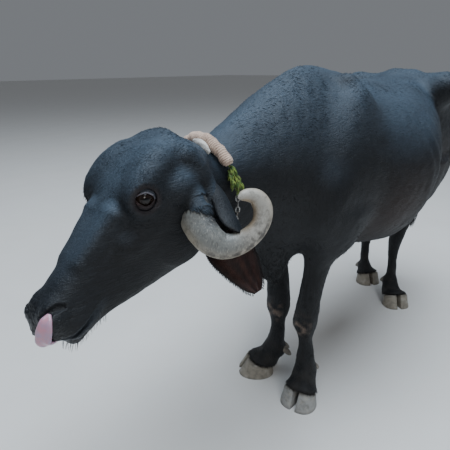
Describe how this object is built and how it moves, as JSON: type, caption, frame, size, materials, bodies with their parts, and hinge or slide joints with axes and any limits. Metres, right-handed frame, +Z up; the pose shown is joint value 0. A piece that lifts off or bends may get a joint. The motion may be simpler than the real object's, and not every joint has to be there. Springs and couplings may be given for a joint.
{
  "type": "water buffalo",
  "caption": "Life-size standing water buffalo with a curled-horned lowered head, tongue out, rope-and-chain collar and tail switch, as a still museum model.",
  "frame": {"origin": "middle of the footprint's box on the floor that the feet stand on", "axes": "+X forward along the back, +Y to the animal's left, +Z up"},
  "size_m": [2.5378, 0.729, 1.3889],
  "materials": {
    "hide": "short black coat with a soft sheen",
    "horn": "dull grey horn, rough at the root",
    "claw": "dull grey hoof horn",
    "eye": "wet gloss",
    "tongue": "wet",
    "coarse_hair": "matt coarse hair",
    "udder_skin": "soft bare skin",
    "rope": "matt fibre rope",
    "fibres": "matt plant fibres",
    "steel": "dull worn steel"
  },
  "bodies": {
    "root": {"torso": "hide", "neck": "hide", "head": "hide", "horn_left": "horn", "ear_left": "hide", "eye_left": "eye", "horn_right": "horn", "ear_right": "hide", "eye_right": "eye", "tongue": "tongue", "leg_left_fore": "hide", "claw_left_fore_outer": "claw", "dewclaw_left_fore_outer": "claw", "claw_left_fore_inner": "claw", "dewclaw_left_fore_inner": "claw", "leg_right_fore": "hide", "claw_right_fore_outer": "claw", "dewclaw_right_fore_outer": "claw", "claw_right_fore_inner": "claw", "dewclaw_right_fore_inner": "claw", "leg_left_hind": "hide", "claw_left_hind_outer": "claw", "dewclaw_left_hind_outer": "claw", "claw_left_hind_inner": "claw", "dewclaw_left_hind_inner": "claw", "leg_right_hind": "hide", "claw_right_hind_outer": "claw", "dewclaw_right_hind_outer": "claw", "claw_right_hind_inner": "claw", "dewclaw_right_hind_inner": "claw", "tail": "hide", "tail_switch": "coarse_hair", "udder": "udder_skin", "collar_rope": "rope", "collar_tie": "rope", "collar_fibres": "fibres", "collar_chain": "steel"}
  },
  "joints": []
}
